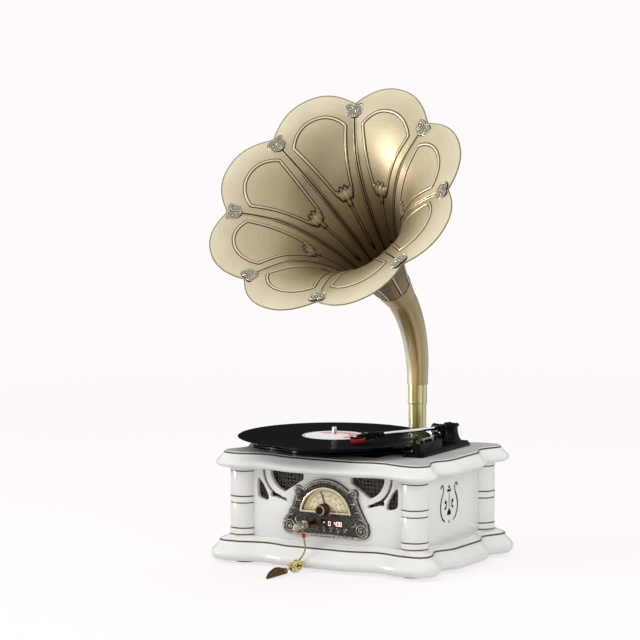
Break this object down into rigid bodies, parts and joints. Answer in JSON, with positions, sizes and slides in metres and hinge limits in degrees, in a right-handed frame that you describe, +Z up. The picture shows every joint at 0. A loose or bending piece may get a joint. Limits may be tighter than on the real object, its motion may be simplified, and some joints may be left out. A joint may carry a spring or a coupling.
{
  "type": "gramophone",
  "caption": "Gramophone-style record player: columned lacquered cabinet with a radio dial front, record deck, tonearm and a swivelling petal horn.",
  "frame": {"origin": "on the floor under the middle of the cabinet, in the plane of the feet", "axes": "+X to the right of the front, -Y out of the front where the dial is, +Z up"},
  "size_m": [0.4322, 0.4379, 0.7355],
  "materials": {
    "ivory_lacquer": "glossy white lacquer with pale gold lines",
    "plain_wood": "plain board",
    "rubber": "matt",
    "mesh_metal": "dark brown expanded mesh",
    "speaker_metal": "satin",
    "cone_paper": "pressed paper cone",
    "board_green": "circuit board",
    "black_metal": "satin black",
    "gold_contacts": "plated contacts",
    "bright_steel": "bright",
    "antique_pewter": "dark cast metal with rubbed highlights",
    "pale_brass": "polished pale brass",
    "dial_cream": "printed cream dial",
    "black_plastic": "gloss black",
    "knob_bronze": "aged bronze",
    "window_glass": "dark tinted window",
    "button_metal": "satin chrome",
    "lock_copper": "reddish copper",
    "key_brass": "aged brass",
    "cord_fibre": "twisted gold cord",
    "bead_red": "polished",
    "tassel_fibre": "brown threads",
    "felt": "felt",
    "vinyl": "grooved vinyl with a white printed label",
    "chrome": "polished",
    "red_plastic": "gloss red",
    "cream_plastic": "gloss cream",
    "tube_brass": "polished brass with a green tinge",
    "elbow_brass": "brushed antique brass",
    "bell_brass": "brushed antique brass, pale, darker in the throat",
    "badge_pewter": "dark cast scrolls with rubbed highlights"
  },
  "bodies": {
    "cabinet": {"base_moulding": "ivory_lacquer", "bottom_panel": "plain_wood", "top_board": "ivory_lacquer", "front_panel": "ivory_lacquer", "rear_panel": "ivory_lacquer", "left_panel": "ivory_lacquer", "right_panel": "ivory_lacquer", "column_front_left": "ivory_lacquer", "column_front_right": "ivory_lacquer", "column_rear_left": "ivory_lacquer", "column_rear_right": "ivory_lacquer", "feet": "rubber", "grille_meshes": "mesh_metal", "lyre_meshes": "mesh_metal", "speaker_left": "speaker_metal", "speaker_right": "speaker_metal", "speaker_cones": "cone_paper", "circuit_board": "board_green", "rear_socket_plate": "black_metal", "rear_jacks": "gold_contacts", "screws": "bright_steel", "escutcheon": "antique_pewter", "dial_bezel": "pale_brass", "dial_face": "dial_cream", "display_window": "window_glass", "key_cord": "cord_fibre", "key_bead": "bead_red", "key_knot": "cord_fibre", "key_tassel": "tassel_fibre", "deck_plate": "black_plastic", "drive_belt": "rubber", "motor": "bright_steel", "arm_base": "black_plastic", "arm_tower": "black_plastic", "horn_tube": "tube_brass", "horn_driver": "speaker_metal"},
    "platter_body": {"platter": "black_metal", "slip_mat": "felt", "record": "vinyl", "spindle": "chrome"},
    "pulley_body": {"motor_pulley": "gold_contacts"},
    "gimbal_body": {"arm_gimbal": "black_plastic"},
    "arm_body": {"tone_arm": "chrome", "counterweight": "black_metal", "headshell": "black_plastic", "cartridge": "red_plastic"},
    "lift_lever_body": {"lift_lever": "cream_plastic"},
    "speed_lever_body": {"speed_lever": "black_plastic"},
    "knob_body": {"tuning_knob": "knob_bronze"},
    "pointer_body": {"dial_pointer": "black_plastic"},
    "button_1_body": {"button_1": "button_metal"},
    "button_2_body": {"button_2": "button_metal"},
    "button_3_body": {"button_3": "button_metal"},
    "button_4_body": {"button_4": "button_metal"},
    "key_body": {"key_lock": "lock_copper", "key": "key_brass"},
    "horn_body": {"horn_socket": "tube_brass", "horn_elbow": "elbow_brass", "horn_bell": "bell_brass", "horn_badges": "badge_pewter"}
  },
  "joints": [
    {"name": "platter_spin", "type": "hinge", "parent": "cabinet", "child": "platter_body", "pos_m": [-0.032, -0.0355, 0.18], "axis": [0, 0, 1], "continuous": true},
    {"name": "motor_spin", "type": "hinge", "parent": "cabinet", "child": "pulley_body", "pos_m": [-0.09695, 0.002, 0.18], "axis": [0, 0, 1], "continuous": true},
    {"name": "arm_swing", "type": "hinge", "parent": "cabinet", "child": "gimbal_body", "pos_m": [0.096, 0.072, 0.19], "axis": [0, 0, 1], "range_deg": [-15, 22.5]},
    {"name": "arm_lift", "type": "hinge", "parent": "gimbal_body", "child": "arm_body", "pos_m": [0.096, 0.072, 0.2025], "axis": [-0.9588, 0.284, 0], "range_deg": [0, 12]},
    {"name": "lift_lever_turn", "type": "hinge", "parent": "cabinet", "child": "lift_lever_body", "pos_m": [0.1225, 0.002, 0.1994], "axis": [-1, 0, 0], "range_deg": [0, 48]},
    {"name": "speed_lever_turn", "type": "hinge", "parent": "cabinet", "child": "speed_lever_body", "pos_m": [-0.12799, -0.072, 0.18], "axis": [0, 0, 1], "range_deg": [-20, 20]},
    {"name": "tuning_knob_turn", "type": "hinge", "parent": "cabinet", "child": "knob_body", "pos_m": [0, -0.12, 0.094], "axis": [0, -1, 0], "range_deg": [-400, 240]},
    {"name": "pointer_turn", "type": "hinge", "parent": "cabinet", "child": "pointer_body", "pos_m": [0, -0.118, 0.094], "axis": [0, -1, 0], "range_deg": [-100, 60]},
    {"name": "button_1_press", "type": "slide", "parent": "cabinet", "child": "button_1_body", "axis": [0, 1, 0], "range_m": [0, 0.0008], "stiffness_N_per_m": 800, "springref_m": -0.0003},
    {"name": "button_2_press", "type": "slide", "parent": "cabinet", "child": "button_2_body", "axis": [0, 1, 0], "range_m": [0, 0.0008], "stiffness_N_per_m": 800, "springref_m": -0.0003},
    {"name": "button_3_press", "type": "slide", "parent": "cabinet", "child": "button_3_body", "axis": [0, 1, 0], "range_m": [0, 0.0008], "stiffness_N_per_m": 800, "springref_m": -0.0003},
    {"name": "button_4_press", "type": "slide", "parent": "cabinet", "child": "button_4_body", "axis": [0, 1, 0], "range_m": [0, 0.0008], "stiffness_N_per_m": 800, "springref_m": -0.0003},
    {"name": "key_turn", "type": "hinge", "parent": "cabinet", "child": "key_body", "pos_m": [-0.022, -0.12, 0.0715], "axis": [0, -1, 0], "range_deg": [0, 90]},
    {"name": "horn_swivel", "type": "hinge", "parent": "cabinet", "child": "horn_body", "pos_m": [0.032, 0.121, 0.232], "axis": [0, 0, 1], "continuous": true}
  ],
  "couplings": [
    {"joint": "motor_spin", "follows": "platter_spin", "ratio": 8.7778},
    {"joint": "pointer_turn", "follows": "tuning_knob_turn", "ratio": 0.25},
    {"joint": "arm_lift", "follows": "lift_lever_turn", "ratio": 0.25}
  ]
}
